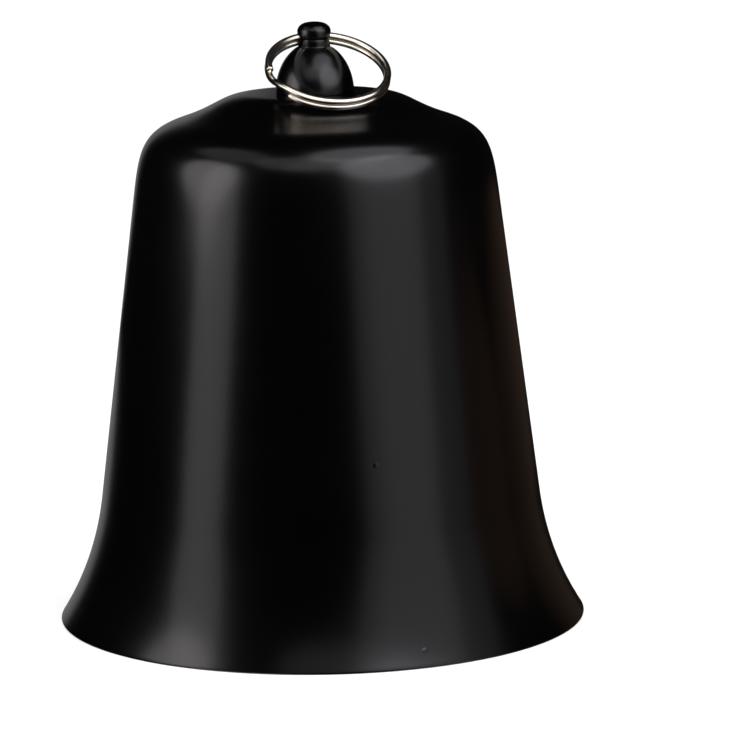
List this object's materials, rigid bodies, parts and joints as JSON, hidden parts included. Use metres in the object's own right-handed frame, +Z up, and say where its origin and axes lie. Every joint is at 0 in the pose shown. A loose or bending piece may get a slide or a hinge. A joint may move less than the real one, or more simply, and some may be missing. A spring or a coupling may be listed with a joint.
{
  "type": "temple bell",
  "caption": "Small hand-size temple bell with a flared mouth, a hanging boss with a split ring, and a ball clapper on an oval link.",
  "frame": {"origin": "centre of the mouth plane, on the axis of the bell", "axes": "+Z up along the bell's axis, from the mouth to the boss; +X along the cross hole that the ring hangs in; the resting ring leans towards -Y"},
  "size_m": [0.115, 0.115, 0.13],
  "materials": {
    "black_paint": "semi-gloss black enamel on sheet steel",
    "black_paint_boss": "semi-gloss black enamel on turned steel",
    "nickel_plate": "bright nickel plate",
    "zinc_plate": "dull zinc plate on steel",
    "spring_steel": "dark oiled spring steel",
    "turned_brass": "turned brass, slightly dulled"
  },
  "bodies": {
    "bell": {"bell_shell": "black_paint", "crown_boss": "black_paint_boss", "crown_washer": "zinc_plate", "lock_washer": "spring_steel", "crown_nut": "zinc_plate", "eye_bolt": "zinc_plate"},
    "ring": {"split_ring": "nickel_plate"},
    "link": {"clapper_link": "zinc_plate"},
    "clapper": {"clapper_rod": "zinc_plate", "clapper_jam_nut": "zinc_plate", "clapper_ball": "turned_brass"}
  },
  "joints": [
    {"name": "ring_swing", "type": "hinge", "parent": "bell", "child": "ring", "pos_m": [0, 0, 0.1264], "axis": [-1, 0, 0], "range_deg": [0, 237]},
    {"name": "link_twist", "type": "hinge", "parent": "bell", "child": "link", "pos_m": [0, 0, 0.09728], "axis": [0, 0, 1], "range_deg": [-30, 30]},
    {"name": "clapper_swing", "type": "hinge", "parent": "link", "child": "clapper", "pos_m": [0, 0, 0.08688], "axis": [0, 1, 0], "range_deg": [-30, 30]}
  ]
}
